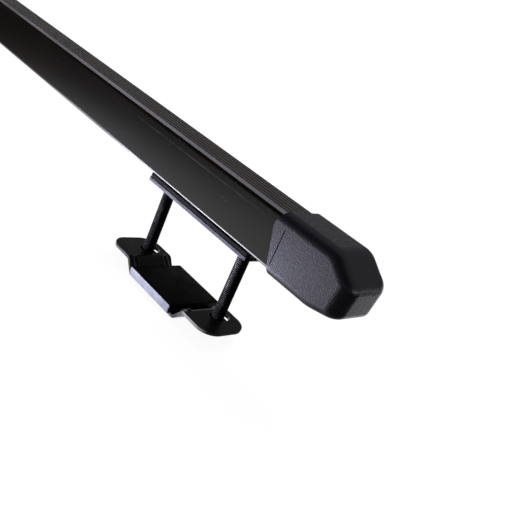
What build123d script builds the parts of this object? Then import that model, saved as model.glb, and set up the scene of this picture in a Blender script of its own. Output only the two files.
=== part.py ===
from build123d import *
import math
import os

# Roof rack crossbar: a slotted steel bar with a ribbed top strip, a moulded cap on each end and two
# clamping feet that slide along its underside. Millimetres. X runs along the bar and Z points up.
# The origin is midway between the feet, on the plane where the upper pads sit on a car's roof rails.

# Bar: a roll-formed rectangular section, open along the middle of its underside
bar_length = 1150.0
bar_width = 20.0
bar_height = 28.0
bar_wall = 1.5
bar_corner = 2.0
bar_inner_corner = 0.5
slot_width = 8.0

# Ribbed strip on the bar's top
strip_inset = 0.4
strip_thickness = 2.0
strip_edge = 0.25
groove_count = 6
groove_pitch = 3.45
groove_width = 1.0
groove_depth = 1.0
strip_end_gap = 0.3

# End caps: a shroud over the bar's end, open below, a plug inside the bar and a sloping nose beyond it
cap_side = 5.5
cap_over_strip = 1.5
cap_nose = 26.0
cap_grip_top = 24.5
cap_grip_knee = 27.2
cap_grip_bottom = 19.5
cap_knee_drop = 7.6
cap_knee_radius = 4.0
cap_slope_run = 15.5
cap_slope_drop = 11.0
cap_end_lean = 1.8
cap_heel_lift = 3.5
cap_instep = 7.0
cap_instep_radius = 30.0
cap_brow_radius = 12.0
cap_corner_radius = 7.5
cap_top_radius = 5.5
cap_bottom_radius = 4.5
cap_fit = 0.2
cap_plug_length = 15.0
cap_plug_lead = 1.5
cap_groove_width = 0.6
cap_groove_depth = 0.4
cap_groove_margin = 1.5

# How steep a face's normal is where the caps' edges are told apart
level_face = 0.5
upright_face = 0.3

# Feet: where they stand, and how far apart each foot's bolts are
foot_from_bar_end = 82.5
bolt_spacing = 70.0
slide_gap = 0.1

# Upper plate and its rubber pad
plate_overhang = 10.0
plate_thickness = 2.0
plate_corner = 2.0
upper_pad_proud = 0.5
upper_pad_thickness = 2.0

# M7 clamp bolts with flat heads that the bar's slot holds
bolt_diameter = 7.0
bolt_hole_room = 0.3
bolt_head_length = 11.0
bolt_head_height = 4.0
bolt_head_corner = 1.5
bolt_head_room = 0.5
bolt_tip_chamfer = 0.8
bolt_stickout = 0.9

# Lower bracket: a stamped strip with slotted ears and a tray between them
rail_gap = 43.0
sheet = 2.0
bracket_width = 31.0
ear_reach = 14.0
ear_corner = 10.0
ear_inner = 8.0
ear_rise = 6.8
joggle_run = 6.0
bend_radius = 1.5
ear_slot_front = 5.0
ear_slot_back = 8.0
ear_slot_room = 0.5
sheet_edge = 0.4
bead_radius = 2.0
bead_spacing = 21.5
bead_lift = 2.2
bead_sink = 1.4
bracket_offset = -3.5

# Lower rubber pad, in the tray
lower_pad_thickness = 5.0
lower_pad_width = 36.0
lower_pad_end_gap = 1.5
pad_edge = 0.6

# Washers and M7 nuts
washer_diameter = 13.0
washer_thickness = 1.2
nut_across_flats = 11.0
nut_height = 5.5
nut_chamfer = 0.5
nut_thread_room = 0.05
nut_face_gap = 0.1

# Levels, counted from the plane on which the upper pads meet the rails
plate_bottom = upper_pad_thickness
bar_bottom = plate_bottom + plate_thickness + slide_gap
bar_top = bar_bottom + bar_height
strip_top = bar_top + strip_thickness
cap_top = strip_top + cap_over_strip
head_seat = bar_bottom + bar_wall + slide_gap
lower_pad_top = -rail_gap
tray_top = lower_pad_top - lower_pad_thickness
ear_top = tray_top + ear_rise
washer_top = ear_top - sheet
nut_top = washer_top - washer_thickness - nut_face_gap
bolt_end = nut_top - nut_height - bolt_stickout

# Places along the bar
bar_end = bar_length / 2
cap_end = bar_end + cap_nose
rim_top = bar_end - cap_grip_top
rim_knee = bar_end - cap_grip_knee
rim_bottom = bar_end - cap_grip_bottom
strip_end = rim_top - (rim_top - rim_knee) * (cap_top - bar_top) / cap_knee_drop - strip_end_gap
foot_x = bar_end - foot_from_bar_end
plate_length = bolt_spacing + 2 * plate_overhang
tray_half = bolt_spacing / 2 - ear_inner - joggle_run
wall_top = bolt_spacing / 2 - ear_inner
ear_end = bolt_spacing / 2 + ear_reach

bolt_hole = bolt_diameter / 2 + bolt_hole_room
bolt_row = [-bolt_spacing / 2, bolt_spacing / 2]

os.makedirs("parts", exist_ok=True)


def write(piece, node):
    piece.part.label = node
    export_step(piece.part, "parts/" + node + ".step")


def make_crossbar():
    inner_width = bar_width - 2 * bar_wall
    inner_height = bar_height - 2 * bar_wall
    with BuildPart() as bar:
        with BuildSketch(Plane.YZ):
            with Locations((0, bar_bottom + bar_height / 2)):
                RectangleRounded(bar_width, bar_height, bar_corner)
                RectangleRounded(inner_width, inner_height, bar_inner_corner, mode=Mode.SUBTRACT)
            with Locations((0, bar_bottom + bar_wall / 2)):
                Rectangle(slot_width, 2 * bar_wall, mode=Mode.SUBTRACT)
        extrude(amount=bar_length / 2, both=True)
    return bar


def make_top_strip():
    with BuildPart() as strip:
        with BuildSketch(Plane.YZ) as section:
            with Locations((0, bar_top)):
                Rectangle(bar_width - 2 * strip_inset, strip_thickness, align=(Align.CENTER, Align.MIN))
            fillet(section.vertices().group_by(Axis.Y)[-1], strip_edge)
            with Locations((0, strip_top - groove_depth)):
                with GridLocations(groove_pitch, 1, groove_count, 1):
                    on_floor = (Align.CENTER, Align.MIN)
                    Rectangle(groove_width, groove_depth, align=on_floor, mode=Mode.SUBTRACT)
        extrude(amount=strip_end, both=True)
    return strip


def make_end_cap():
    """The cap on the +X end."""
    half_width = bar_width / 2 + cap_side
    brow = (cap_end - cap_slope_run, cap_top)
    chin = (cap_end, cap_top - cap_slope_drop)
    heel = (cap_end - cap_end_lean, bar_bottom + cap_heel_lift)
    instep = (bar_end + cap_instep, bar_bottom)
    knee = (rim_knee, cap_top - cap_knee_drop)
    with BuildPart() as cap:
        with BuildSketch(Plane.XZ) as side:
            with BuildLine():
                rim_low = (rim_bottom, bar_bottom)
                Polyline((rim_top, cap_top), brow, chin, heel, instep, rim_low, knee, close=True)
            make_face()
            fillet(side.vertices().sort_by_distance(knee)[0], cap_knee_radius)
            fillet(side.vertices().sort_by_distance(instep)[0], cap_instep_radius)
        extrude(amount=half_width, both=True)
        # Round the nose in plan and its brow, then the whole upper edge and the whole lower edge
        end_face = cap.faces().sort_by(Axis.X)[-1]
        fillet(end_face.edges().filter_by(Axis.Y, reverse=True), cap_corner_radius)
        fillet(cap.edges().filter_by(Axis.Y).sort_by_distance((brow[0], 0, brow[1]))[0], cap_brow_radius)
        for up, radius in ((1, cap_top_radius), (-1, cap_bottom_radius)):
            facing = cap.faces().filter_by(lambda face: face.normal_at().Z * up > level_face)
            walls = cap.faces().filter_by(lambda face: abs(face.normal_at().Z) < upright_face)
            outer_walls = walls.filter_by(lambda face: face.normal_at().X > -level_face)
            fillet(facing.edges() & outer_walls.edges(), radius)
        # The channel that the bar's end goes into, and the plug that goes into the bar
        with BuildSketch(Plane.YZ.offset(bar_end)):
            with Locations((0, bar_bottom - cap_fit)):
                channel_height = bar_height + 2 * cap_fit
                Rectangle(bar_width + 2 * cap_fit, channel_height, align=(Align.CENTER, Align.MIN))
        extrude(amount=-2 * cap_grip_knee, mode=Mode.SUBTRACT)
        plug_inset = 2 * (bar_wall + cap_fit)
        with BuildSketch(Plane.YZ.offset(bar_end)):
            with Locations((0, bar_bottom + bar_height / 2)):
                Rectangle(bar_width - plug_inset, bar_height - plug_inset)
        extrude(amount=-cap_plug_length)
        plug_tip = (bar_end - cap_plug_length, 0, bar_bottom + bar_height / 2)
        chamfer(cap.faces().sort_by_distance(plug_tip)[0].edges(), cap_plug_lead)
        # A fine upright groove near the rim, on both flanks
        groove_length = cap_top - bar_bottom - cap_top_radius - cap_bottom_radius - 2 * cap_groove_margin
        groove_z = (cap_top - cap_top_radius + bar_bottom + cap_bottom_radius) / 2
        with Locations((rim_bottom, half_width, groove_z), (rim_bottom, -half_width, groove_z)):
            Box(cap_groove_width, 2 * cap_groove_depth, groove_length, mode=Mode.SUBTRACT)
    return cap


def make_upper_plate(centre):
    with BuildPart() as plate:
        with BuildSketch(Plane.XY.offset(plate_bottom)):
            with Locations((centre, 0)):
                RectangleRounded(plate_length, bar_width, plate_corner)
            with Locations(*[(centre + x, 0) for x in bolt_row]):
                Circle(bolt_hole, mode=Mode.SUBTRACT)
        extrude(amount=plate_thickness)
    return plate


def make_upper_pad(centre):
    with BuildPart() as pad:
        with BuildSketch():
            with Locations((centre, 0)):
                RectangleRounded(plate_length, bar_width + 2 * upper_pad_proud, plate_corner)
            with Locations(*[(centre + x, 0) for x in bolt_row]):
                Circle(bolt_hole, mode=Mode.SUBTRACT)
        extrude(amount=upper_pad_thickness)
    return pad


def make_clamp_bolt(x):
    head_width = bar_width - 2 * (bar_wall + bolt_head_room)
    with BuildPart() as bolt:
        with BuildSketch(Plane.XY.offset(bolt_end)):
            with Locations((x, 0)):
                Circle(bolt_diameter / 2)
        extrude(amount=head_seat - bolt_end)
        chamfer(bolt.edges().group_by(Axis.Z)[0], bolt_tip_chamfer)
        with BuildSketch(Plane.XY.offset(head_seat)):
            with Locations((x, 0)):
                RectangleRounded(bolt_head_length, head_width, bolt_head_corner)
        extrude(amount=bolt_head_height)
    return bolt


def make_lower_bracket(centre):
    outer_bend = bend_radius + sheet
    wall = Vector(joggle_run, 0, ear_rise)
    bead_foot = Vector(tray_half, 0, tray_top) + wall * (bead_lift / ear_rise)
    bead_head = Vector(wall_top, 0, ear_top - bead_sink)
    bend_zone = (centre - bolt_spacing / 2, centre + bolt_spacing / 2)
    with BuildPart() as bracket:
        # The strip's side view: its upper line, and the sheet's thickness below it
        with BuildSketch(Plane((centre, bracket_offset, 0), x_dir=(1, 0, 0), z_dir=(0, -1, 0))):
            with BuildLine() as upper:
                FilletPolyline(
                    (-ear_end, ear_top),
                    (-wall_top, ear_top),
                    (-tray_half, tray_top),
                    (tray_half, tray_top),
                    (wall_top, ear_top),
                    (ear_end, ear_top),
                    radius=[outer_bend, bend_radius, bend_radius, outer_bend],
                )
                offset(upper.wire(), amount=sheet, side=Side.RIGHT)
            make_face()
        extrude(amount=bracket_width / 2, both=True)
        ends = bracket.faces().filter_by(Axis.X)
        fillet(ends.edges().filter_by(Axis.Z), ear_corner)
        # Deburr the sheet's outline, above and below
        creases = bracket.edges().filter_by(Axis.Y).filter_by_position(Axis.X, *bend_zone)
        fillet(bracket.edges().filter_by(Axis.Z, reverse=True) - creases, sheet_edge)
        # Stamped beads that stiffen the walls between the ears and the tray
        for way in (-1, 1):
            for y in (bracket_offset - bead_spacing / 2, bracket_offset + bead_spacing / 2):
                foot = Vector(centre + way * bead_foot.X, y, bead_foot.Z)
                head = Vector(centre + way * bead_head.X, y, bead_head.Z)
                with BuildSketch(Plane(origin=foot, z_dir=head - foot)):
                    Circle(bead_radius)
                extrude(amount=(head - foot).length)
                with Locations(foot, head):
                    Sphere(bead_radius)
        # Slots across the ears, for the bolts
        with BuildSketch(Plane.XY.offset(ear_top + bead_radius)):
            with Locations(*[(centre + x, (ear_slot_back - ear_slot_front) / 2) for x in bolt_row]):
                slot_length = ear_slot_front + ear_slot_back
                SlotOverall(slot_length, bolt_diameter + 2 * ear_slot_room, rotation=90)
        extrude(amount=-2 * (sheet + bead_radius), mode=Mode.SUBTRACT)
    return bracket


def make_lower_pad(centre):
    with BuildPart() as pad:
        with BuildSketch(Plane.XY.offset(tray_top)):
            with Locations((centre, bracket_offset)):
                Rectangle(2 * (tray_half - lower_pad_end_gap), lower_pad_width)
        extrude(amount=lower_pad_thickness)
        fillet(pad.edges().filter_by(Axis.Z) + pad.edges().group_by(Axis.Z)[-1], pad_edge)
    return pad


def make_washer(x):
    with BuildPart() as washer:
        with BuildSketch(Plane.XY.offset(washer_top - washer_thickness)):
            with Locations((x, 0)):
                Circle(washer_diameter / 2)
                Circle(bolt_hole, mode=Mode.SUBTRACT)
        extrude(amount=washer_thickness)
    return washer


def make_nut(x):
    nut_bottom = nut_top - nut_height
    corner_radius = nut_across_flats / math.sqrt(3)
    with BuildPart() as nut:
        with BuildSketch(Plane.XY.offset(nut_bottom)):
            with Locations((x, 0)):
                RegularPolygon(nut_across_flats / 2, 6, major_radius=False)
                Circle(bolt_diameter / 2 + nut_thread_room, mode=Mode.SUBTRACT)
        extrude(amount=nut_height)
        # Turning takes the sharp corners off both faces
        with BuildSketch(Plane(origin=(x, 0, nut_bottom), x_dir=(1, 0, 0), z_dir=(0, -1, 0))) as turned:
            Rectangle(corner_radius, nut_height, align=(Align.MIN, Align.MIN))
            chamfer(turned.vertices().group_by(Axis.X)[-1], nut_chamfer)
        revolve(axis=Axis((x, 0, 0), (0, 0, 1)), mode=Mode.INTERSECT)
    return nut


write(make_crossbar(), "crossbar")
write(make_top_strip(), "top_strip")

right_cap = make_end_cap()
with BuildPart() as left_cap:
    mirror(right_cap.part, about=Plane.YZ)
write(right_cap, "end_cap_right")
write(left_cap, "end_cap_left")

for side, way in (("left", -1), ("right", 1)):
    centre = way * foot_x
    write(make_upper_plate(centre), "upper_plate_" + side)
    write(make_upper_pad(centre), "upper_pad_" + side)
    write(make_lower_bracket(centre), "lower_bracket_" + side)
    write(make_lower_pad(centre), "lower_pad_" + side)
    for place, offset_x in (("inner", -way * bolt_spacing / 2), ("outer", way * bolt_spacing / 2)):
        bolt_x = centre + offset_x
        write(make_clamp_bolt(bolt_x), "clamp_bolt_" + side + "_" + place)
        write(make_washer(bolt_x), "washer_" + side + "_" + place)
        write(make_nut(bolt_x), "nut_" + side + "_" + place)
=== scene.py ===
# %% [markdown]
# # A roof rack crossbar, dressed for the camera
# The real thing is a black steel bar that sits across a car's roof. A ribbed plastic strip keeps the load
# from sliding, a moulded cap closes each end, and two feet clamp the bar to the roof rails. The solids come
# from a CAD model, and they already have the right sizes. Blender adds what a solid model leaves out:
# threads, soft edges, paint, grain and light.

# %% Load the frame
import math

import bmesh
import bpy
from mathutils import Matrix, Vector


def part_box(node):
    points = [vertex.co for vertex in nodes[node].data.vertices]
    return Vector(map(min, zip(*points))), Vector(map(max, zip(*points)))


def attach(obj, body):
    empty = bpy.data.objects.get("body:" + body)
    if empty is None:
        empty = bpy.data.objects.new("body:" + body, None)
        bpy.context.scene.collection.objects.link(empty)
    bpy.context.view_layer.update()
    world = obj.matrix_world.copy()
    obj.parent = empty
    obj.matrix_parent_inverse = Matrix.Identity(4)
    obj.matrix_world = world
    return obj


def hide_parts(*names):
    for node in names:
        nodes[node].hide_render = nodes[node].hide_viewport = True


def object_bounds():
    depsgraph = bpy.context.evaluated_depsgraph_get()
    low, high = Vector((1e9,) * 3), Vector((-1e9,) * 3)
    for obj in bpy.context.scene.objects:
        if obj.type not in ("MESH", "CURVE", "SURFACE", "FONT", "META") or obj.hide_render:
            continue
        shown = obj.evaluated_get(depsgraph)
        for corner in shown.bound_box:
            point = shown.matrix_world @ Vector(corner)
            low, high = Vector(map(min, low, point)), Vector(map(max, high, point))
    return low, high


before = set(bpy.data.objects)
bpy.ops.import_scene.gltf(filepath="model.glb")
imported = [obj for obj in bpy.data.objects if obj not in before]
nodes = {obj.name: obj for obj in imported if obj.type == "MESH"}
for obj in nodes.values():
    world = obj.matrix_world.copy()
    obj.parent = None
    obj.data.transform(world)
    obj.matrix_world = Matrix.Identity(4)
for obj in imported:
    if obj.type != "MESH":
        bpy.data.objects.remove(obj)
cad_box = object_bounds()
MM = 0.001
SIDES = ("left", "right")
PLACES = ("inner", "outer")
print("overall box in mm:", [[round(value / MM, 1) for value in corner] for corner in cad_box])

# %% [markdown]
# ## Where the camera stands
# The camera is close to the right-hand end, a hand's width above the bar, and tilted so that the bar climbs
# to the upper left. Its place and turn were found by matching the bar's long edges, the bolts and the cap
# with a photograph. We could aim it with a constraint, but a constraint can't give the tilt, so the three
# directions are written down as a matrix.

# %% Camera
camera_data = bpy.data.cameras.new("camera")
camera_data.sensor_width = 36.0
camera_data.lens = 45.89
camera_data.clip_start = 0.01
camera = bpy.data.objects.new("camera", camera_data)
bpy.context.scene.collection.objects.link(camera)
camera_right = Vector((0.62770565, 0.6760906, 0.38585893))
camera_up = Vector((-0.52639987, 0.00348375, 0.85022999))
camera_back = Vector((0.57348827, -0.73681026, 0.35808078))
camera_place = Vector((0.724539, -0.244618, 0.120201))
camera_turn = Matrix((camera_right, camera_up, camera_back)).transposed().to_4x4()
camera.matrix_world = Matrix.Translation(camera_place) @ camera_turn
bpy.context.scene.camera = camera
bpy.context.scene.view_settings.view_transform = "Standard"
print("camera", round(camera_place.length, 3), "m from the middle of the bar")

# %% [markdown]
# ## Helpers for modelling by hand
# In edit mode an operator works on whatever is selected, so most mistakes come from a selection that holds
# too much. Two helpers keep this safe: one adds a primitive with nothing else selected, and one selects by a
# rule in code, where a person would click. The others are the steps that come back with every piece: cut,
# merge, round, smooth and copy.

# %% Helpers: start and select
PICK_MODES = {"verts": "VERT", "edges": "EDGE", "faces": "FACE"}


def begin(primitive, name, **options):
    """Add a primitive by itself, give it a name and open it in edit mode with nothing selected."""
    if bpy.context.object and bpy.context.object.mode != "OBJECT":
        bpy.ops.object.mode_set(mode="OBJECT")
    bpy.ops.object.select_all(action="DESELECT")
    primitive(**options)
    piece = bpy.context.object
    piece.name = name
    piece.data.name = name
    bpy.ops.object.transform_apply(location=True, rotation=True, scale=True)
    bpy.ops.object.mode_set(mode="EDIT")
    bpy.ops.mesh.select_all(action="DESELECT")
    return piece


def block(name, low, high):
    """A box between two corners, open in edit mode."""
    cube = bpy.ops.mesh.primitive_cube_add
    return begin(cube, name, size=1.0, location=(low + high) / 2, scale=high - low)


def pick(kind, test):
    """Select only the vertices, edges or faces for which the test is true, and count them."""
    bpy.ops.mesh.select_mode(type=PICK_MODES[kind])
    bpy.ops.mesh.select_all(action="DESELECT")
    mesh = bmesh.from_edit_mesh(bpy.context.edit_object.data)
    chosen = [item for item in getattr(mesh, kind) if test(item)]
    for item in chosen:
        item.select_set(True)
    bmesh.update_edit_mesh(bpy.context.edit_object.data)
    return len(chosen)


print("a rule can pick", ", ".join(PICK_MODES))

# %% Helpers: rules for edges
HAIR = 0.01 * MM
UPRIGHT_RISE = 0.5 * MM
SHARP_TURN = 0.8


def middle(edge):
    """The middle of an edge."""
    return (edge.verts[0].co + edge.verts[1].co) / 2


def rise(edge):
    """How far an edge climbs from one end to the other."""
    return abs(edge.verts[0].co.z - edge.verts[1].co.z)


def is_upright(edge):
    """True for the edges that stand up."""
    return rise(edge) > UPRIGHT_RISE


def is_sharp(edge):
    """True where the two faces of an edge turn by more than a soft angle."""
    return edge.calc_face_angle(0) > SHARP_TURN


print("an edge is sharp above", round(math.degrees(SHARP_TURN)), "degrees")

# %% Helpers: cut, merge and round
WELD = 0.001 * MM


def cut_along(place, normal, **options):
    """Cut the whole mesh along a plane."""
    bpy.ops.mesh.select_all(action="SELECT")
    bpy.ops.mesh.bisect(plane_co=place, plane_no=normal, **options)


def merge_points():
    """Make one point of points that share a place."""
    bpy.ops.mesh.select_all(action="SELECT")
    bpy.ops.mesh.remove_doubles(threshold=WELD)


def round_edges(test, radius, segments):
    """Bevel the edges for which the test is true."""
    pick("edges", test)
    bpy.ops.mesh.bevel(offset=radius, segments=segments, affect="EDGES")


print("points within", WELD / MM, "mm are one point")

# %% Helpers: finish a piece
def close_edit():
    """Leave edit mode."""
    bpy.ops.object.mode_set(mode="OBJECT")


def select_only(piece):
    """Make one object the active one, and the only one selected."""
    bpy.ops.object.select_all(action="DESELECT")
    bpy.context.view_layer.objects.active = piece
    piece.select_set(True)


def apply_modifier(piece, kind, **settings):
    """Add one modifier, set it and apply it."""
    select_only(piece)
    modifier = piece.modifiers.new(kind.lower(), kind)
    for key, value in settings.items():
        setattr(modifier, key, value)
    bpy.ops.object.modifier_apply(modifier=modifier.name)


def smooth(piece, degrees):
    """Shade smooth across edges that turn less than the angle."""
    select_only(piece)
    bpy.ops.object.shade_smooth_by_angle(angle=math.radians(degrees))


def copy_to(piece, name, shift):
    """A copy with its own mesh, moved inside that mesh so that the object stays at the origin."""
    twin = piece.copy()
    twin.data = piece.data.copy()
    twin.name = name
    twin.data.name = name
    twin.data.transform(Matrix.Translation(shift))
    bpy.context.scene.collection.objects.link(twin)
    return twin


def facts(piece):
    """Print how many faces a piece has, and its size."""
    corners = [Vector(corner) for corner in piece.bound_box]
    size = [max(c[i] for c in corners) - min(c[i] for c in corners) for i in range(3)]
    rounded = [round(value / MM, 2) for value in size]
    print(piece.name, "faces", len(piece.data.polygons), "size in mm", rounded)


print("ready to model", len(nodes), "nodes")

# %% [markdown]
# ## Helpers for nodes
# A material is a small program made of nodes and links. Written out one by one, the links hide what the
# program says, so these helpers let us write it as arithmetic: multiply, add, and map one range to another.

# %% Helpers: nodes and links
def add(tree, kind, **settings):
    """Add a node. A setting is a property of the node or, if it has no such property, an input's value."""
    node = tree.nodes.new(kind)
    for key, value in settings.items():
        if hasattr(node, key):
            setattr(node, key, value)
        else:
            node.inputs[key.replace("_", " ")].default_value = value
    return node


def join(tree, source, target):
    """Link an output to an input."""
    tree.links.new(source, target)


def add_at(tree, kind, place, **settings):
    """Add a node that works on the given place, which is linked to its Vector input."""
    node = add(tree, kind, **settings)
    join(tree, place, node.inputs["Vector"])
    return node


def where(tree, output="Object"):
    """The place of a point, or another output of its coordinates, whole and split into X, Y and Z."""
    place = add(tree, "ShaderNodeTexCoord").outputs[output]
    split = add_at(tree, "ShaderNodeSeparateXYZ", place)
    return place, [split.outputs[axis] for axis in "XYZ"]


NOISE = "ShaderNodeTexNoise"
CELLS = "ShaderNodeTexVoronoi"
print("patterns:", NOISE, "and", CELLS)

# %% Helpers: arithmetic
def math_node(tree, operation, first, second=0.0):
    """One step of arithmetic on sockets or numbers."""
    node = add(tree, "ShaderNodeMath", operation=operation)
    for index, value in enumerate((first, second)):
        if isinstance(value, (int, float)):
            node.inputs[index].default_value = value
        else:
            join(tree, value, node.inputs[index])
    return node.outputs["Value"]


def product(tree, result, *values):
    """Multiply sockets or numbers."""
    for value in values:
        result = math_node(tree, "MULTIPLY", result, value)
    return result


def total(tree, result, *values):
    """Add up sockets or numbers."""
    for value in values:
        result = math_node(tree, "ADD", result, value)
    return result


def one_minus(tree, value):
    """Turn a mask round."""
    return math_node(tree, "SUBTRACT", 1.0, value)


def size_of(tree, value):
    """A value without its sign."""
    return math_node(tree, "ABSOLUTE", value)


def length_of(tree, vector):
    """The length of a vector."""
    node = add(tree, "ShaderNodeVectorMath", operation="LENGTH")
    join(tree, vector, node.inputs[0])
    return node.outputs["Value"]


def spread(tree, source, low, high, to_low=0.0, to_high=1.0):
    """Map a value's range smoothly to another range."""
    node = add(tree, "ShaderNodeMapRange", interpolation_type="SMOOTHSTEP")
    for label, value in (("From Min", low), ("From Max", high), ("To Min", to_low), ("To Max", to_high)):
        node.inputs[label].default_value = value
    join(tree, source, node.inputs["Value"])
    return node.outputs["Result"]


print("arithmetic in nodes is ready")

# %% [markdown]
# ## Finishes shared by several materials
# Black paint, black plastic and black rubber differ mostly in how they scatter light, and hardly in colour.
# What makes them believable is small: grain, dust and rubbed marks. These effects are used by several
# materials, so each one is a node group with named inputs. A group only puts out values that change over the
# surface. The shader itself stays in each material, where its plain numbers can be read and exported.
#
# The first group is the skin that a mould or a dip leaves. A cell pattern gives its small pits, and a little
# noise keeps them from looking like a net. Real pits would need millions of faces, so this height is only
# for a bump.

# %% Group: moulded grain
def new_group(name, inputs, outputs):
    """An empty shader group with float inputs (name, default) and float outputs (name)."""
    group = bpy.data.node_groups.new(name, "ShaderNodeTree")
    for label, value in inputs:
        socket = group.interface.new_socket(name=label, in_out="INPUT", socket_type="NodeSocketFloat")
        socket.default_value = value
    for label in outputs:
        group.interface.new_socket(name=label, in_out="OUTPUT", socket_type="NodeSocketFloat")
    return group, group.nodes.new("NodeGroupInput"), group.nodes.new("NodeGroupOutput")


HAZE_SHARE = 0.6


def make_grain_group():
    """Small soft cells with some haze, as a height and as a mask of the pits."""
    inputs = [("Cells per metre", 1500.0), ("Softness", 0.5)]
    group, start, end = new_group("moulded grain", inputs, ["Height", "Pits"])
    place, _ = where(group)
    cells = add_at(group, CELLS, place, feature="SMOOTH_F1")
    join(group, start.outputs["Cells per metre"], cells.inputs["Scale"])
    join(group, start.outputs["Softness"], cells.inputs["Smoothness"])
    haze = add_at(group, NOISE, place, Detail=2.0)
    join(group, start.outputs["Cells per metre"], haze.inputs["Scale"])
    height = total(group, cells.outputs["Distance"], product(group, haze.outputs["Fac"], HAZE_SHARE))
    join(group, height, end.inputs["Height"])
    join(group, spread(group, height, 0.35, 0.9), end.inputs["Pits"])
    return group


grain_group = make_grain_group()
print("group", grain_group.name, "with", len(grain_group.nodes), "nodes")

# %% [markdown]
# Dust settles in loose patches, and whatever slides along the bar leaves fine lines in its direction. The
# dots of a cell pattern, let through by a slow noise, are the dust. A noise that is stretched along the bar
# gives the lines. The seed moves both, so no two materials wear the same marks.

# %% Group: handling marks
LINE_STRETCH = (9.0, 260.0, 260.0)
LINE_TURN = (0.0, math.radians(4.0), 0.0)


def make_marks_group():
    """Dust specks, and fine rubbed lines that run mostly along the bar."""
    inputs = [("Specks", 0.5), ("Rubbing", 0.5), ("Seed", 0.0)]
    group, start, end = new_group("handling marks", inputs, ["Dust", "Scratches"])
    place, _ = where(group)
    shift = add(group, "ShaderNodeCombineXYZ")
    join(group, start.outputs["Seed"], shift.inputs["X"])
    shifted = add(group, "ShaderNodeVectorMath", operation="ADD")
    join(group, place, shifted.inputs[0])
    join(group, shift.outputs["Vector"], shifted.inputs[1])
    moved = shifted.outputs["Vector"]
    specks = add_at(group, CELLS, moved, Scale=220.0, Randomness=1.0)
    patches = add_at(group, NOISE, moved, Scale=26.0, Detail=3.0)
    dots = spread(group, specks.outputs["Distance"], 0.16, 0.08)
    dust = product(group, dots, spread(group, patches.outputs["Fac"], 0.55, 0.72), start.outputs["Specks"])
    join(group, dust, end.inputs["Dust"])
    stretched = add_at(group, "ShaderNodeMapping", moved, Scale=LINE_STRETCH, Rotation=LINE_TURN)
    lines = add_at(group, NOISE, stretched.outputs["Vector"], Scale=1.0, Detail=6.0, Roughness=0.7)
    rubbed = product(group, spread(group, lines.outputs["Fac"], 0.66, 0.76), start.outputs["Rubbing"])
    join(group, rubbed, end.inputs["Scratches"])
    return group


marks_group = make_marks_group()
print("group", marks_group.name, "with", len(marks_group.nodes), "nodes")

# %% [markdown]
# The last group is the plainest: a slow noise, mapped to a range that each material chooses. It multiplies
# colours and roughness, so that no large face is one flat tone.

# %% Group: cloudy tone
def make_cloud_group():
    """A slow change of tone between a low and a high value."""
    group, start, end = new_group("cloudy tone", [("Scale", 20.0), ("Low", 0.8), ("High", 1.2)], ["Tone"])
    place, _ = where(group)
    cloud = add_at(group, NOISE, place, Detail=4.0, Roughness=0.6)
    join(group, start.outputs["Scale"], cloud.inputs["Scale"])
    tone = add(group, "ShaderNodeMapRange", From_Min=0.3, From_Max=0.7)
    join(group, cloud.outputs["Fac"], tone.inputs["Value"])
    join(group, start.outputs["Low"], tone.inputs["To Min"])
    join(group, start.outputs["High"], tone.inputs["To Max"])
    join(group, tone.outputs["Result"], end.inputs["Tone"])
    return group


cloud_group = make_cloud_group()
print("group", cloud_group.name, "with", len(cloud_group.nodes), "nodes")

# %% [markdown]
# Every material is built in the same way. Values that are even all over are set on the shader's own sockets.
# The base colour is a dark colour times a tone, with layers such as dust laid over it through a mask. A bump
# tilts the surface by a height, and its depth is a real one.

# %% Helpers: materials
DUST_GREY = (0.35, 0.34, 0.33)
# A Mix node has sockets for each type of data, and these are the places of its colour sockets.
COLOUR_A, COLOUR_B, COLOUR_OUT = 6, 7, 2


def new_material(name, **values):
    """A material with a Principled BSDF, whose even values are set on its own sockets."""
    material = bpy.data.materials.new(name)
    material.use_nodes = True
    shader = material.node_tree.nodes["Principled BSDF"]
    for key, value in values.items():
        shader.inputs[key.replace("_", " ")].default_value = value
    return material, material.node_tree, shader


def place_group(tree, group, **values):
    """Put a node group into a material and set its inputs."""
    return add(tree, "ShaderNodeGroup", node_tree=group, **values)


def toned(tree, shader, colour, tone, *layers):
    """Base colour: a colour times a slow tone, with layers of (mask, colour) laid over it."""
    grey = add(tree, "ShaderNodeCombineColor")
    for channel in ("Red", "Green", "Blue"):
        join(tree, tone, grey.inputs[channel])
    mixed = add(tree, "ShaderNodeMix", data_type="RGBA", blend_type="MULTIPLY", Factor=1.0)
    mixed.inputs[COLOUR_A].default_value = (*colour, 1.0)
    join(tree, grey.outputs["Color"], mixed.inputs[COLOUR_B])
    result = mixed.outputs[COLOUR_OUT]
    for mask, layer_colour in layers:
        over = add(tree, "ShaderNodeMix", data_type="RGBA")
        join(tree, mask, over.inputs["Factor"])
        join(tree, result, over.inputs[COLOUR_A])
        over.inputs[COLOUR_B].default_value = (*layer_colour, 1.0)
        result = over.outputs[COLOUR_OUT]
    join(tree, result, shader.inputs["Base Color"])


def bumped(tree, shader, height, depth):
    """Let a height in the nodes tilt the surface, as deep as the given length."""
    bump = add(tree, "ShaderNodeBump", Strength=1.0, Distance=depth)
    join(tree, height, bump.inputs["Height"])
    join(tree, bump.outputs["Normal"], shader.inputs["Normal"])


print("dust is", DUST_GREY)
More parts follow.
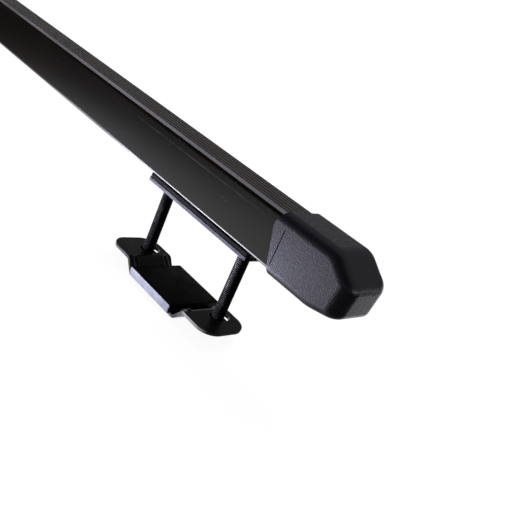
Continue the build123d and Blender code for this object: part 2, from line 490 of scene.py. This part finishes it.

# %% [markdown]
# ## Gloss black paint for the bar
# The bar is roll-formed steel with a smooth coat of black paint. Its flank is nearly a mirror, so most of
# what we see on it is the floor in front of it. A little orange peel, some dust and a few rubbed lines make
# it paint and not glass. One faint light line along the flank, a few millimetres under the top edge, is a
# painted reflection. The lower edges are rubbed through to bright steel where the feet slide, and that thin
# line catches more light than all the paint.

# %% Material: bar paint
bar_low, bar_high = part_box("crossbar")
BAR_BLACK = (0.0042, 0.0033, 0.0022)
BARE_STEEL = (0.8, 0.8, 0.78)
# A painted reflection: a faint light line along the flank, a few millimetres under the top edge.
REFLECTION_LINE_Z = bar_high.z - 5.7 * MM
REFLECTION_LINE_FADE = (0.22 * MM, 0.05 * MM)
REFLECTION_LINE_SHOWS = (0.36, 0.46)
BARE_HEIGHT = (bar_low.z + 1.7 * MM, bar_low.z + 1.3 * MM)
BARE_SIDE = (bar_high.y - 2.2 * MM, bar_high.y - 1.4 * MM)
BARE_SHOWS = (0.385, 0.44)


def make_bar_paint():
    """Gloss black with a painted reflection line, dust, scratches and bare lower edges."""
    material, tree, shader = new_material("bar paint", Specular_IOR_Level=0.36)
    marks = place_group(tree, marks_group, Specks=0.08, Rubbing=0.3)
    cloud = place_group(tree, cloud_group, Scale=14.0, Low=0.8, High=1.25)
    scratches = marks.outputs["Scratches"]
    place, (x, y, z) = where(tree)
    from_middle = size_of(tree, x)
    broken = add_at(tree, NOISE, place, Scale=60.0, Detail=3.0).outputs["Fac"]
    from_reflection_line = size_of(tree, math_node(tree, "SUBTRACT", z, REFLECTION_LINE_Z))
    # The line is a painted reflection, and it joins the dust layer that lightens the paint.
    line = product(tree, spread(tree, from_reflection_line, *REFLECTION_LINE_FADE), spread(tree, broken, 0.4, 0.65, 0.1, 0.5),
                   spread(tree, from_middle, *REFLECTION_LINE_SHOWS))
    dust = total(tree, marks.outputs["Dust"], product(tree, line, 0.35), product(tree, scratches, 0.03))
    bare = product(tree, spread(tree, z, *BARE_HEIGHT), spread(tree, size_of(tree, y), *BARE_SIDE),
                   spread(tree, from_middle, *BARE_SHOWS), spread(tree, broken, 0.3, 0.5, 0.6, 1.0))
    join(tree, bare, shader.inputs["Metallic"])
    toned(tree, shader, BAR_BLACK, cloud.outputs["Tone"], (dust, DUST_GREY), (bare, BARE_STEEL))
    rough = total(tree, product(tree, scratches, 0.2), 0.16, product(tree, dust, 0.4))
    join(tree, rough, shader.inputs["Roughness"])
    peel = add_at(tree, NOISE, place, Scale=420.0, Detail=1.0)
    bumped(tree, shader, peel.outputs["Fac"], 0.02 * MM)
    return material


bar_paint = make_bar_paint()
print("material", bar_paint.name, "with its painted reflection line at", round(REFLECTION_LINE_Z / MM, 2), "mm")

# %% [markdown]
# ## Satin black for the clamps
# The plates and brackets are dipped, which leaves a satin coat. It is thin on the faces where the strip of
# steel was sheared, and the steel shines through there. Those faces look along Y, so the surface's own
# direction finds them, and nothing has to be painted by hand. The plates sit under the bar and stay dull, so
# they have the same coat without the wear.

# %% Material: clamp coat
COAT_BLACK = (0.01, 0.0096, 0.0096)
SHEARED_STEEL = (0.45, 0.45, 0.46)


def make_clamp_coat(name, shine, edge_wear):
    """Satin black, worn thin on the sheared faces by the given share."""
    material, tree, shader = new_material(name, Specular_IOR_Level=shine)
    marks = place_group(tree, marks_group, Specks=0.3, Rubbing=0.5, Seed=3.0)
    tone = place_group(tree, cloud_group, Scale=70.0, Low=0.7, High=1.3).outputs["Tone"]
    dust = total(tree, marks.outputs["Dust"], product(tree, marks.outputs["Scratches"], 0.1))
    _, (_, across, _) = where(tree, "Normal")
    sheared = spread(tree, size_of(tree, across), 0.6, 0.95)
    thin = product(tree, sheared, spread(tree, tone, 0.8, 1.2, 0.15 * edge_wear, edge_wear))
    join(tree, thin, shader.inputs["Metallic"])
    toned(tree, shader, COAT_BLACK, tone, (dust, DUST_GREY), (thin, SHEARED_STEEL))
    join(tree, product(tree, tone, 0.28), shader.inputs["Roughness"])
    grain = place_group(tree, grain_group, Cells_per_metre=900.0, Softness=1.0)
    bumped(tree, shader, grain.outputs["Height"], 0.015 * MM)
    return material


plate_coat = make_clamp_coat("plate coat", shine=0.1, edge_wear=0.0)
bracket_coat = make_clamp_coat("bracket coat", shine=0.35, edge_wear=1.0)
print("materials", plate_coat.name, "and", bracket_coat.name)

# %% [markdown]
# ## Black zinc for the bolts
# The bolts, washers and nuts are plated, and the plating is dark and gives little back. Only the crests of
# the threads are worn to bright metal, mostly on the two sides where the ends of the brackets' slots rub
# them. The inner bolts' crests are kept duller than the outer ones as painted shade. The distance from a
# bolt's axis tells a crest from a root. The four axes mirror each other, so one distance from the nearest
# axis serves all four.

# %% Material: black zinc
inner_bolt, outer_bolt = [
    sum(corner.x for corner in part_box("clamp_bolt_right_" + place)) / 2 for place in PLACES
]
FOOT_X = (inner_bolt + outer_bolt) / 2
BOLT_SPACING = outer_bolt - inner_bolt
THREAD_RADIUS = 3.5 * MM
CREST_BEGINS = (THREAD_RADIUS - 0.08 * MM, THREAD_RADIUS - 0.03 * MM)
CREST_ENDS = (THREAD_RADIUS + 0.1 * MM, THREAD_RADIUS + 0.05 * MM)
SLOT_SIDE = (2.4 * MM, 3.2 * MM)
OUTER_BOLT_SIDE = (-5.0 * MM, 5.0 * MM)
ZINC_BLACK = (0.005, 0.005, 0.0048)
SCRATCHED_ZINC = (0.06, 0.06, 0.06)
WORN_CREST = (0.5, 0.5, 0.52)


def make_black_zinc():
    """Dark plating, worn bright on the threads' crests, most of all where the slots' ends rub them."""
    material, tree, shader = new_material("black zinc", IOR=1.2, Specular_IOR_Level=0.2)
    marks = place_group(tree, marks_group, Specks=0.2, Rubbing=0.3, Seed=7.0)
    tone = place_group(tree, cloud_group, Scale=160.0, Low=0.75, High=1.25).outputs["Tone"]
    _, (x, y, _) = where(tree)
    from_foot = math_node(tree, "SUBTRACT", size_of(tree, x), FOOT_X)
    off_axis = add(tree, "ShaderNodeCombineXYZ")
    join(tree, math_node(tree, "SUBTRACT", size_of(tree, from_foot), BOLT_SPACING / 2), off_axis.inputs["X"])
    join(tree, y, off_axis.inputs["Y"])
    radius = length_of(tree, off_axis.outputs["Vector"])
    crest = product(tree, spread(tree, radius, *CREST_BEGINS), spread(tree, radius, *CREST_ENDS))
    slot_side = spread(tree, size_of(tree, y), *SLOT_SIDE, 0.05, 1.0)
    # Painted shade: the inner bolts' crests are kept duller than the outer ones.
    outer = spread(tree, from_foot, *OUTER_BOLT_SIDE, 0.35, 1.0)
    worn = product(tree, crest, spread(tree, tone, 0.8, 1.2, 0.35, 0.85), slot_side, outer)
    join(tree, worn, shader.inputs["Metallic"])
    toned(tree, shader, ZINC_BLACK, tone, (marks.outputs["Scratches"], SCRATCHED_ZINC), (worn, WORN_CREST))
    join(tree, product(tree, tone, 0.2), shader.inputs["Roughness"])
    grain = place_group(tree, grain_group, Cells_per_metre=2600.0, Softness=0.8)
    bumped(tree, shader, grain.outputs["Height"], 0.01 * MM)
    return material


black_zinc = make_black_zinc()
print("material", black_zinc.name, "for bolts", round(BOLT_SPACING / MM, 2), "mm apart")

# %% [markdown]
# ## Plastic for the caps
# A cap is moulded in a tool with a spark-eroded skin, so it has an even, fine grain. The skin is glossy, and
# nearly all the light that leaves it is a reflection, which the grain spreads to a soft, cool grey. A grey
# base colour would look chalky in its shaded fillets. So the base is nearly black, and the reflection is
# strong and has a cool tint.

# %% Material: cap plastic
CAP_BLACK = (0.006, 0.0058, 0.0075)
COOL_TINT = (0.84, 0.83, 1.0, 1.0)


def make_cap_plastic():
    """Glossy black plastic with a fine grain."""
    material, tree, shader = new_material("cap plastic", IOR=1.72, Specular_IOR_Level=1.0,
                                          Specular_Tint=COOL_TINT)
    grain = place_group(tree, grain_group, Cells_per_metre=1700.0, Softness=0.8)
    marks = place_group(tree, marks_group, Specks=0.25, Rubbing=0.15, Seed=11.0)
    cloud = place_group(tree, cloud_group, Scale=45.0, Low=0.88, High=1.12)
    pits = grain.outputs["Pits"]
    speckle = product(tree, cloud.outputs["Tone"], spread(tree, pits, 0.0, 1.0, 1.12, 0.85))
    toned(tree, shader, CAP_BLACK, speckle, (marks.outputs["Dust"], DUST_GREY))
    join(tree, spread(tree, pits, 0.0, 1.0, 0.2, 0.3), shader.inputs["Roughness"])
    bumped(tree, shader, grain.outputs["Height"], 0.09 * MM)
    return material


cap_plastic = make_cap_plastic()
print("material", cap_plastic.name)

# %% [markdown]
# ## Plastic for the strip
# The strip is extruded, so its texture runs in streaks along the bar: a noise that is stretched in X. It is
# greyer than the cap. Its grooves get little light, so they have a second, near-black material with almost
# no shine, which is painted shade.

# %% Material: strip plastic and painted groove shade
STRIP_GREY = (0.106, 0.1, 0.092)
# Painted shade: the grooves' walls and floor are near black because little light reaches them.
GROOVE_SHADE_BLACK = (0.006, 0.0058, 0.0055)
STREAK_STRETCH = (12.0, 1400.0, 1400.0)


def make_strip_plastic():
    """Dark grey plastic with streaks along the bar."""
    material, tree, shader = new_material("strip plastic", Specular_IOR_Level=0.3)
    place, _ = where(tree)
    along = add_at(tree, "ShaderNodeMapping", place, Scale=STREAK_STRETCH)
    streaks = add_at(tree, NOISE, along.outputs["Vector"], Scale=1.0, Detail=4.0).outputs["Fac"]
    marks = place_group(tree, marks_group, Specks=0.06, Rubbing=0.2, Seed=17.0)
    cloud = place_group(tree, cloud_group, Scale=30.0, Low=0.85, High=1.15)
    tone = product(tree, cloud.outputs["Tone"], spread(tree, streaks, 0.3, 0.7, 0.85, 1.15))
    toned(tree, shader, STRIP_GREY, tone, (marks.outputs["Dust"], DUST_GREY))
    join(tree, spread(tree, streaks, 0.3, 0.7, 0.42, 0.52), shader.inputs["Roughness"])
    bumped(tree, shader, streaks, 0.01 * MM)
    return material


def make_groove_painted_shade():
    """Dull near-black plastic, the painted shade in the strip's grooves."""
    material, tree, shader = new_material("groove painted shade", Specular_IOR_Level=0.05)
    tone = place_group(tree, cloud_group, Scale=55.0, Low=0.6, High=1.4).outputs["Tone"]
    toned(tree, shader, GROOVE_SHADE_BLACK, tone)
    join(tree, product(tree, tone, 0.75), shader.inputs["Roughness"])
    return material


strip_plastic = make_strip_plastic()
groove_painted_shade = make_groove_painted_shade()
print("materials", strip_plastic.name, "and", groove_painted_shade.name)

# %% [markdown]
# ## Rubber for the pads
# The pads are cut from sheet, and their faces have a dark, smooth skin. Their two long sides are painted
# pale with open pits: painted light from the front. The lower pads' sides are much paler than the upper
# ones, which sit in shade under the plates, so one function makes both sides, with the colour as its input.

# %% Material: pad skin and pad sides with painted light
SKIN_BLACK = (0.004, 0.0037, 0.0036)


def make_pad_skin():
    """The dark skin of rubber sheet."""
    material, tree, shader = new_material("pad skin", Specular_IOR_Level=0.08)
    grain = place_group(tree, grain_group, Cells_per_metre=1800.0, Softness=1.0)
    marks = place_group(tree, marks_group, Specks=0.15, Rubbing=0.3, Seed=23.0)
    tone = place_group(tree, cloud_group, Scale=60.0, Low=0.75, High=1.25).outputs["Tone"]
    toned(tree, shader, SKIN_BLACK, tone, (marks.outputs["Dust"], DUST_GREY))
    join(tree, product(tree, tone, 0.55), shader.inputs["Roughness"])
    bumped(tree, shader, grain.outputs["Height"], 0.03 * MM)
    return material


def make_pad_painted_light(name, colour):
    """Pale rubber with open pits, painted light on a pad's sides."""
    material, tree, shader = new_material(name, Specular_IOR_Level=0.3, Roughness=0.7)
    grain = place_group(tree, grain_group, Cells_per_metre=2200.0, Softness=0.4)
    cloud = place_group(tree, cloud_group, Scale=120.0, Low=0.7, High=1.1)
    pits = spread(tree, grain.outputs["Pits"], 0.0, 1.0, 1.0, 0.8)
    toned(tree, shader, colour, product(tree, cloud.outputs["Tone"], pits))
    bumped(tree, shader, grain.outputs["Height"], 0.08 * MM)
    return material


pad_skin = make_pad_skin()
# Painted light: pale on the lower pads' sides, which face the front light, and dimmer on the upper pads'
# sides under the plates.
lower_pad_painted_light = make_pad_painted_light("lower pad painted light", (0.8, 0.81, 0.88))
upper_pad_painted_light = make_pad_painted_light("upper pad painted light", (0.24, 0.245, 0.27))
print("materials", pad_skin.name, ",", lower_pad_painted_light.name, "and", upper_pad_painted_light.name)

# %% [markdown]
# ## Nodes that keep their CAD shape
# The bar, the caps, the plates, the brackets, the washers and the nuts already have their true form, with
# their bends, fillets and holes. They only need their finish, so we put a material in each object's slot and
# leave the mesh alone.

# %% Finish the CAD nodes
def finish_node(name, material):
    """Give a CAD node one material."""
    node = nodes[name]
    node.data.materials.clear()
    node.data.materials.append(material)


finish_node("crossbar", bar_paint)
for side in SIDES:
    finish_node("end_cap_" + side, cap_plastic)
    finish_node("upper_plate_" + side, plate_coat)
    finish_node("lower_bracket_" + side, bracket_coat)
    for place in PLACES:
        finish_node("washer_" + side + "_" + place, black_zinc)
        finish_node("nut_" + side + "_" + place, black_zinc)
print("finished", 1 + len(SIDES) * (3 + 2 * len(PLACES)), "CAD nodes")

# %% [markdown]
# ## The ribbed strip
# The real strip is an extrusion with rounded ribs, and the CAD solid has plain square grooves. By hand we
# would start from a long box, cut it lengthwise where the groove walls go, push the faces between the cuts
# down, and round every long edge with a bevel. The bevel matters most, because the light catches only the
# edges of dark plastic.

# %% Strip: cuts
strip_low, strip_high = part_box("top_strip")
GROOVES = 6
GROOVE_PITCH = 3.45 * MM
GROOVE_WIDTH = 1.0 * MM
GROOVE_DEPTH = 1.0 * MM
strip = block("ribbed_strip", strip_low, strip_high)
groove_lines = [(index - (GROOVES - 1) / 2) * GROOVE_PITCH for index in range(GROOVES)]
for line in groove_lines:
    for wall in (line - GROOVE_WIDTH / 2, line + GROOVE_WIDTH / 2):
        cut_along((0, wall, 0), (0, 1, 0))
groove_floor = strip_high.z - GROOVE_DEPTH
cut_along((0, 0, groove_floor), (0, 0, 1))
print("the cuts leave", len(bmesh.from_edit_mesh(strip.data).faces), "faces")

# %% [markdown]
# Pushing a face down leaves the box's old end standing across each groove, with a new face on top of it. So
# both are deleted, which opens the grooves at the strip's ends. The level of the groove's floor was cut into
# the box for this: the new points meet the old ones there, and merging them closes the mesh again.

# %% Strip: grooves
STRAIGHT = 0.9


def in_groove(face):
    """True for the faces between the two walls of a groove."""
    return any(abs(face.calc_center_median().y - line) < GROOVE_WIDTH / 4 for line in groove_lines)


def closes_groove_end(face):
    """True for the faces that stand across a groove at the strip's ends."""
    return abs(face.normal.x) > STRAIGHT and in_groove(face) and face.calc_center_median().z > groove_floor


print("grooves", pick("faces", lambda face: face.normal.z > STRAIGHT and in_groove(face)))
bpy.ops.mesh.extrude_region_move(TRANSFORM_OT_translate={"value": (0, 0, -GROOVE_DEPTH)})
print("end faces deleted", pick("faces", closes_groove_end))
bpy.ops.mesh.delete(type="FACE")
merge_points()

# %% Strip: round edges and finish
EDGE_ROUND = 0.18 * MM


def is_long_corner(edge):
    """True for the sharp edges along the bar, apart from those on the underside."""
    along_bar = abs(edge.verts[0].co.x - edge.verts[1].co.x) > (strip_high.x - strip_low.x) / 2
    return along_bar and middle(edge).z > strip_low.z + EDGE_ROUND and is_sharp(edge)


round_edges(is_long_corner, EDGE_ROUND, segments=3)
close_edit()
smooth(strip, degrees=40)
strip.data.materials.append(strip_plastic)
strip.data.materials.append(groove_painted_shade)
# The grooves' faces below the ribs get the painted shade.
for face in strip.data.polygons:
    below_ribs = strip_high.z - 1.5 * EDGE_ROUND > face.center.z > strip_low.z + EDGE_ROUND
    face.material_index = 1 if below_ribs and abs(face.center.y) < strip_high.y - EDGE_ROUND else 0
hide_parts("top_strip")
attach(strip, "bar")
facts(strip)

# %% [markdown]
# ## A threaded bolt
# A bump map can't give a thread its outline, and at this distance the outline shows. So the thread is cut
# for real: one tooth of the profile is drawn as a short chain of edges, the Screw modifier winds it up the
# shank, and two cuts make clean ends. The chain starts half a step low, so that no point lies on a cut, and
# the cuts have a very fine tolerance, because the usual one is larger than a step of the thread and tears it.
# The tip's points are then drawn in to a cone, which is the chamfer that helps a nut to start.

# %% Thread
bolt_low, bolt_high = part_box("clamp_bolt_right_outer")
ROOT_RADIUS = 2.92 * MM
PITCH = 1.0 * MM
FLANK_SHARE = 0.36
FLAT_SHARE = 0.14
STEPS = 28
SPARE_TURNS = 2
HEAD_HEIGHT = 4.0 * MM
TIP_CHAMFER = 0.8 * MM
FINE_CUT = 0.0001 * MM
shank_top = bolt_high.z - HEAD_HEIGHT
whole_turns = math.ceil((shank_top - bolt_low.z) / PITCH)
thread_top = bolt_low.z + whole_turns * PITCH
thread_start = bolt_low.z - (SPARE_TURNS + 0.5 / STEPS) * PITCH
bolt = begin(bpy.ops.mesh.primitive_plane_add, "clamp_bolt", size=MM, location=(ROOT_RADIUS, 0, thread_start))
bpy.ops.mesh.select_mode(type="VERT")
bpy.ops.mesh.select_all(action="SELECT")
bpy.ops.mesh.merge(type="CENTER")
tooth = THREAD_RADIUS - ROOT_RADIUS
for step_out, share in ((tooth, FLANK_SHARE), (0, FLAT_SHARE), (-tooth, FLANK_SHARE), (0, FLAT_SHARE)):
    bpy.ops.mesh.extrude_region_move(TRANSFORM_OT_translate={"value": (step_out, 0, share * PITCH)})
close_edit()
print("tooth", round(tooth / MM, 2), "mm deep,", whole_turns, "turns")

# %% Thread: wind and trim
apply_modifier(bolt, "SCREW", axis="Z", angle=2 * math.pi, screw_offset=PITCH,
               iterations=whole_turns + 2 * SPARE_TURNS, steps=STEPS, render_steps=STEPS,
               use_merge_vertices=True, merge_threshold=WELD, use_normal_calculate=True)
bpy.ops.object.mode_set(mode="EDIT")
merge_points()
for level, way in ((thread_top, 1), (bolt_low.z, -1)):
    cut_along((0, 0, level), (0, 0, way), use_fill=True, clear_outer=True, threshold=FINE_CUT)
for vertex in bmesh.from_edit_mesh(bolt.data).verts:
    widest = THREAD_RADIUS - max(0.0, bolt_low.z + TIP_CHAMFER - vertex.co.z)
    if vertex.co.xy.length > widest:
        vertex.co.xy *= widest / vertex.co.xy.length
bpy.ops.mesh.select_all(action="SELECT")
bpy.ops.mesh.normals_make_consistent(inside=False)
close_edit()
facts(bolt)

# %% [markdown]
# The bolt's flat head stays in the bar's slot and hardly shows, so it is a bevelled block. All four bolts
# are alike, so one is modelled on the vertical axis and then copied. Each copy is moved inside its own mesh,
# which keeps the object at the origin.

# %% Head
HEAD_CORNER = 1.5 * MM
HEAD_EDGE = 0.3 * MM
half = (bolt_high - bolt_low) / 2
head = block("bolt_head", Vector((-half.x, -half.y, shank_top)), Vector((half.x, half.y, bolt_high.z)))
round_edges(is_upright, HEAD_CORNER, segments=4)
round_edges(lambda edge: rise(edge) < HAIR, HEAD_EDGE, segments=2)
close_edit()
select_only(bolt)
head.select_set(True)
bpy.ops.object.join()
smooth(bolt, degrees=25)
bolt.data.materials.append(black_zinc)
facts(bolt)

# %% Four bolts
for side in SIDES:
    for place in PLACES:
        node = "clamp_bolt_" + side + "_" + place
        low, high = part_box(node)
        twin = copy_to(bolt, "threaded_" + node, Vector(((low.x + high.x) / 2, (low.y + high.y) / 2, 0)))
        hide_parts(node)
        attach(twin, "foot_" + side)
bpy.data.objects.remove(bolt)
print("bolts", len(SIDES) * len(PLACES))

# %% [markdown]
# ## Rubber pads
# A pad starts as a block with its upright corners rounded. The lower one bulges a little, because it is
# squeezed each time the clamp is closed, so rings are cut round its middle and pushed out. The faces that
# look sideways get the second material, a pale colour that is painted light.

# %% Lower pads
LOWER_CORNER = 1.0 * MM
LOWER_RIM = 0.5 * MM
BULGE = 1.008
BULGE_RINGS = (0.3, 0.55, 0.8)
STILL_RIM = 0.2 * MM
SIDEWAYS = 0.8


def two_tone(piece, painted_light_material):
    """The skin all over, but for the two long sides, which get painted light."""
    piece.data.materials.append(pad_skin)
    piece.data.materials.append(painted_light_material)
    # The sideways faces get the painted light.
    for face in piece.data.polygons:
        face.material_index = 1 if abs(face.normal.y) > SIDEWAYS else 0


for side in SIDES:
    node = "lower_pad_" + side
    low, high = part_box(node)
    pad = block("soft_" + node, low, high)
    round_edges(is_upright, LOWER_CORNER, segments=4)
    for share in BULGE_RINGS:
        cut_along((0, 0, low.z + share * (high.z - low.z)), (0, 0, 1))
    pick("verts", lambda vertex: low.z + STILL_RIM < vertex.co.z < high.z - STILL_RIM)
    bpy.ops.transform.resize(value=(BULGE, BULGE, 1.0), center_override=(low + high) / 2)
    round_edges(lambda edge: middle(edge).z > high.z - HAIR and is_sharp(edge), LOWER_RIM, segments=3)
    close_edit()
    smooth(pad, degrees=35)
    two_tone(pad, lower_pad_painted_light)
    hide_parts(node)
    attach(pad, "jaw_" + side)
    facts(pad)

# %% [markdown]
# The upper pad is thin and lies flat under its plate. The two bolts go through it, so it has two holes. A
# hole could be modelled from a ring of faces, but on a plain slab a boolean with a cylinder is quicker and
# just as clean.

# %% Upper pads
UPPER_CORNER = 2.0 * MM
UPPER_RIM = 0.25 * MM
HOLE_RADIUS = 3.8 * MM
HOLE_SIDES = 40
DRILL_DEPTH = 6.0 * MM
for side in SIDES:
    node = "upper_pad_" + side
    low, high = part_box(node)
    pad = block("soft_" + node, low, high)
    round_edges(is_upright, UPPER_CORNER, segments=5)
    round_edges(is_sharp, UPPER_RIM, segments=2)
    close_edit()
    for place in PLACES:
        bolt_lowest, bolt_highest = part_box("clamp_bolt_" + side + "_" + place)
        hole_at = ((bolt_lowest.x + bolt_highest.x) / 2, 0, (low.z + high.z) / 2)
        drill = begin(bpy.ops.mesh.primitive_cylinder_add, "drill", vertices=HOLE_SIDES, radius=HOLE_RADIUS,
                      depth=DRILL_DEPTH, location=hole_at)
        close_edit()
        apply_modifier(pad, "BOOLEAN", object=drill, operation="DIFFERENCE", solver="EXACT")
        bpy.data.objects.remove(drill)
    smooth(pad, degrees=35)
    two_tone(pad, upper_pad_painted_light)
    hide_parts(node)
    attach(pad, "foot_" + side)
    facts(pad)

# %% [markdown]
# ## Floor
# The object is black, so it shows the light more than its own colour. The floor is white for the camera. In
# reflections it is white only behind the bar. In front of it, past its end and below the cap a real studio
# is dim, and that keeps the black paint black. Flags and more lamps could do this, but a floor that glows by
# the kind of ray that meets it is easier to steer, and no lamp has to be turned up to make it white.

# %% Floor
floor_level = cad_box[0][2]
floor = begin(bpy.ops.mesh.primitive_plane_add, "floor", size=40.0, location=(0, 0, floor_level))
close_edit()


def ray(tree, kind):
    """1 for rays of this kind, and 0 for all others."""
    return add(tree, "ShaderNodeLightPath").outputs["Is " + kind + " Ray"]


def seen_directly(tree, in_reflections):
    """1 for what is seen straight or through glass, and the given share of that in a reflection."""
    seen = math_node(tree, "MAXIMUM", ray(tree, "Camera"), ray(tree, "Transmission"))
    return math_node(tree, "MAXIMUM", seen, product(tree, ray(tree, "Glossy"), in_reflections))


print("floor at", round(floor_level / MM, 2), "mm")

# %% [markdown]
# Two directions on the floor say where the white part ends: one points to the front of the bar, and one past
# its right end. What the lamps throw on the floor is dimmed in reflections too, far to the left and past the
# end. Close by, the floor glows a little short of white, so that soft shadows show on it, and far off it is
# pure white.

# %% Floor paint
WHITE = (1.0, 1.0, 1.0, 1.0)
FRONT_WAY = (-0.386, -0.923)
END_WAY = (0.932, -0.363)
FRONT_FADE = (-0.03, 0.13)
END_FADE = (0.5, 0.6)
CAP_SHADE_X = (0.5, 0.56)
CAP_SHADE_Y = (0.08, 0.03)
FAR_LEFT = (0.2, -0.15)
PAST_END = (0.5, 0.62)
GLOW_REACH = (0.8, 2.0)
FLOOR_GREY = 0.3


def reach(tree, x, y, way):
    """How far a point lies along a direction on the floor."""
    return total(tree, product(tree, x, way[0]), product(tree, y, way[1]))


def make_floor_paint():
    """White for the camera, and shaded by place in reflections."""
    material, tree, shader = new_material("pale floor", Roughness=0.9, Specular_IOR_Level=0.1,
                                          Emission_Color=WHITE)
    place, (x, y, _) = where(tree)
    end = reach(tree, x, y, END_WAY)
    behind = spread(tree, reach(tree, x, y, FRONT_WAY), *FRONT_FADE, 1.0, 0.0)
    beside = spread(tree, end, *END_FADE, 1.0, 0.0)
    below_cap = product(tree, spread(tree, x, *CAP_SHADE_X),
                        spread(tree, size_of(tree, y), *CAP_SHADE_Y, 0.0, 0.85))
    lit = product(tree, behind, beside, one_minus(tree, below_cap))
    near_and_far = spread(tree, length_of(tree, place), *GLOW_REACH, 0.92, 1.0)
    join(tree, product(tree, seen_directly(tree, lit), near_and_far), shader.inputs["Emission Strength"])
    far_left = spread(tree, x, *FAR_LEFT, 0.0, 0.85)
    dim = math_node(tree, "MAXIMUM", far_left, spread(tree, end, *PAST_END, 0.0, 0.8))
    shown = one_minus(tree, product(tree, ray(tree, "Glossy"), dim))
    join(tree, product(tree, shown, FLOOR_GREY), shader.inputs["Base Color"])
    return material


floor_paint = make_floor_paint()
floor.data.materials.append(floor_paint)
print("material", floor_paint.name, "with", len(floor_paint.node_tree.nodes), "nodes")

# %% [markdown]
# ## Lamps
# Four soft lamps do the rest. The key stands low at the front left and reaches only upright faces. A small
# panel lies on the floor in front of the bar and lights it from below, so the flanks and the lower edges are
# bright and the upper edges stay dark. A weak wash from above lifts the strip's ribs, and a low lamp at the
# back left serves the views from behind. Only the panel shows in reflections: on gloss paint the others
# would draw hard white lines.

# %% Lamps
COOL_LIGHT = (0.78, 0.79, 1.0)
PANEL_LIGHT = (0.80, 0.79, 1.0)
WARM_LIGHT = (1.0, 0.99, 0.97)
BACK_LIGHT = (0.9, 0.92, 1.0)
PANEL_HEIGHT = 3.0 * MM
UP = Vector((0, 0, 1))


def soft_lamp(name, place, target, size, power, colour, mirrored=False):
    """A rectangular lamp that the camera can't see, and that shows in reflections only if mirrored."""
    data = bpy.data.lights.new(name, "AREA")
    data.shape = "RECTANGLE"
    data.size, data.size_y = size
    data.energy = power
    data.color = colour
    lamp = bpy.data.objects.new(name, data)
    bpy.context.scene.collection.objects.link(lamp)
    lamp.location = place
    lamp.rotation_euler = (Vector(target) - Vector(place)).to_track_quat("-Z", "Y").to_euler()
    lamp.visible_camera = False
    lamp.visible_glossy = mirrored


panel_place = Vector((0.36, -0.065, floor_level + PANEL_HEIGHT))
soft_lamp("front_left", (-1.6, -2.4, 0.15), (0.5, 0.0, 0.0), (1.6, 0.3), 112.0, COOL_LIGHT)
soft_lamp("floor_panel", panel_place, panel_place + UP, (0.28, 0.05), 0.22, PANEL_LIGHT, mirrored=True)
soft_lamp("wash", (0.2, 0.6, 1.6), (0.2, 0.2, 0.0), (1.2, 1.2), 7.2, WARM_LIGHT)
soft_lamp("back_left", (-1.4, 2.4, 0.0), (0.0, 0.0, 0.0), (1.6, 0.06), 80.0, BACK_LIGHT)

# %% [markdown]
# ## World
# Above the floor the camera sees plain white. Reflections see a room instead: a wall behind the bar that is
# bright near the floor and fades with height, a dim ceiling, and near darkness on the camera's side. All
# other rays, which fill the shadows, get one low and even value. A picture of a studio could do this too,
# but a few ranges are easier to change.

# %% World
WALL_HEIGHT = (0.06, 0.3)
WALL_WIDTH = (0.45, 0.85)
FRONT_SIDE = (-0.4, 0.1)
CEILING = 0.105
ROOM = 0.14
world = bpy.data.worlds.new("studio")
bpy.context.scene.world = world
world.use_nodes = True
sky = world.node_tree
background = sky.nodes["Background"]
background.inputs["Color"].default_value = WHITE
_, (_, sky_y, sky_z) = where(sky, "Generated")
wall = product(sky, spread(sky, sky_z, *WALL_HEIGHT, 0.95, 0.02), spread(sky, sky_y, *WALL_WIDTH, 1.0, 0.35))
lit_side = spread(sky, sky_y, *FRONT_SIDE, 0.1, 1.0)
backdrop = product(sky, math_node(sky, "MAXIMUM", wall, CEILING), lit_side)
room = product(sky, one_minus(sky, ray(sky, "Glossy")), ROOM)
strength = math_node(sky, "MAXIMUM", seen_directly(sky, backdrop), room)
join(sky, strength, background.inputs["Strength"])
print("world", world.name, "with", len(sky.nodes), "nodes")
